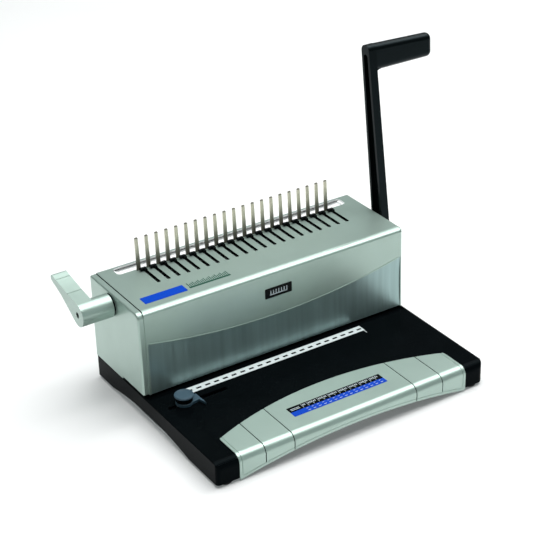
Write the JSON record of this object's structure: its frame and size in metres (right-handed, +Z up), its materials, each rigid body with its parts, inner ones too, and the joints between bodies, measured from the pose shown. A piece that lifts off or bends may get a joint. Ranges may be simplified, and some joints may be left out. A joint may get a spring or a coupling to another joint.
{
  "type": "comb binding machine",
  "caption": "Manual desktop comb binding machine: a side handle punches a row of slots in a paper throat and a side crank opens plastic combs on a row of tines.",
  "frame": {"origin": "centre of the rectangle of the four feet on the table, level with their undersides", "axes": "+Z up; +X towards the punch handle on the machine's right side; -Y towards the user at the front"},
  "size_m": [0.5488, 0.3161, 0.3747],
  "materials": {
    "black_abs": "fine moulded grain, satin",
    "zinc_plate": "zinc plated steel",
    "rubber": "matt moulded rubber",
    "silver_paint": "fine silver-grey metallic paint",
    "label_blue": "printed film",
    "label_white": "printed film",
    "slate_plastic": "moulded, satin",
    "tool_steel": "ground steel",
    "bronze": "sintered bronze",
    "spring_steel": "drawn wire",
    "handle_plastic": "satin black moulding",
    "black_screw": "black oxide",
    "gear_plastic": "natural acetal",
    "black_hooks": "black oxide sheet steel",
    "tine_steel": "nickel plated, polished",
    "channel_steel": "bright plated",
    "label_green": "printed film",
    "badge_black": "gloss moulded badge"
  },
  "bodies": {
    "machine": {"base_shell": "black_abs", "bottom_plate": "zinc_plate", "rubber_feet": "rubber", "bottom_screws": "zinc_plate", "front_panel": "silver_paint", "size_chart_label": "label_blue", "scale_strip": "label_white", "lower_die_plate": "tool_steel", "punch_guide_plate": "tool_steel", "paper_back_stop": "tool_steel", "left_frame_plate": "zinc_plate", "right_frame_plate": "zinc_plate", "tie_rods": "zinc_plate", "tie_rod_nuts": "zinc_plate", "punch_shaft_bushes": "bronze", "bar_guide_rods": "tool_steel", "return_spring": "spring_steel", "opener_bushes": "bronze", "carriage_rails": "zinc_plate", "comb_tines": "tine_steel", "tine_bar": "zinc_plate", "comb_channel": "channel_steel", "top_cover": "silver_paint", "left_end_cap": "silver_paint", "end_cap_bush": "handle_plastic", "rear_cover": "silver_paint", "rear_screws": "black_screw", "blue_label": "label_blue", "tick_label": "label_green", "front_badge": "badge_black"},
    "punch_handle": {"handle_arm": "handle_plastic", "handle_washer": "zinc_plate", "handle_screw": "black_screw", "punch_shaft": "tool_steel", "punch_cams": "tool_steel", "spring_collar": "tool_steel"},
    "punch_ram": {"punch_bar": "tool_steel", "punch_pins": "tool_steel", "pin_clamp_screws": "zinc_plate"},
    "opener": {"crank_lever": "silver_paint", "crank_screw": "black_screw", "opener_shaft": "tool_steel", "opener_pinions": "gear_plastic"},
    "hook_slide": {"hook_carriage": "black_hooks", "comb_hooks": "black_hooks", "opener_racks": "gear_plastic"},
    "edge_guide": {"guide_slider": "black_abs", "guide_pointer": "slate_plastic", "guide_clamp_screw": "zinc_plate"},
    "clamp_knob": {"guide_knob": "slate_plastic"},
    "tray": {"chip_tray": "black_abs"}
  },
  "joints": [
    {"name": "handle_pull", "type": "hinge", "parent": "machine", "child": "punch_handle", "pos_m": [0, 0.082, 0.095], "axis": [1, 0, 0], "range_deg": [0, 75], "stiffness_Nm_per_rad": 0.6, "springref_deg": -51.57},
    {"name": "ram_drop", "type": "slide", "parent": "machine", "child": "punch_ram", "axis": [0, 0, -1], "range_m": [0, 0.009]},
    {"name": "crank_turn", "type": "hinge", "parent": "machine", "child": "opener", "pos_m": [0, 0.097, 0.1317], "axis": [1, 0, 0], "range_deg": [0, 130]},
    {"name": "hook_shift", "type": "slide", "parent": "machine", "child": "hook_slide", "axis": [0, -1, 0], "range_m": [0, 0.025]},
    {"name": "guide_shift", "type": "slide", "parent": "machine", "child": "edge_guide", "axis": [1, 0, 0], "range_m": [-0.0143, 0.0531]},
    {"name": "knob_turn", "type": "hinge", "parent": "edge_guide", "child": "clamp_knob", "pos_m": [-0.16275, -0.014, 0.042], "axis": [0, 0, 1], "range_deg": [0, 180]},
    {"name": "tray_pull", "type": "slide", "parent": "machine", "child": "tray", "axis": [1, 0, 0], "range_m": [0, 0.2]}
  ],
  "couplings": [
    {"joint": "ram_drop", "follows": "handle_pull", "m_per_rad": 0.00687},
    {"joint": "hook_shift", "follows": "crank_turn", "m_per_rad": 0.011}
  ]
}
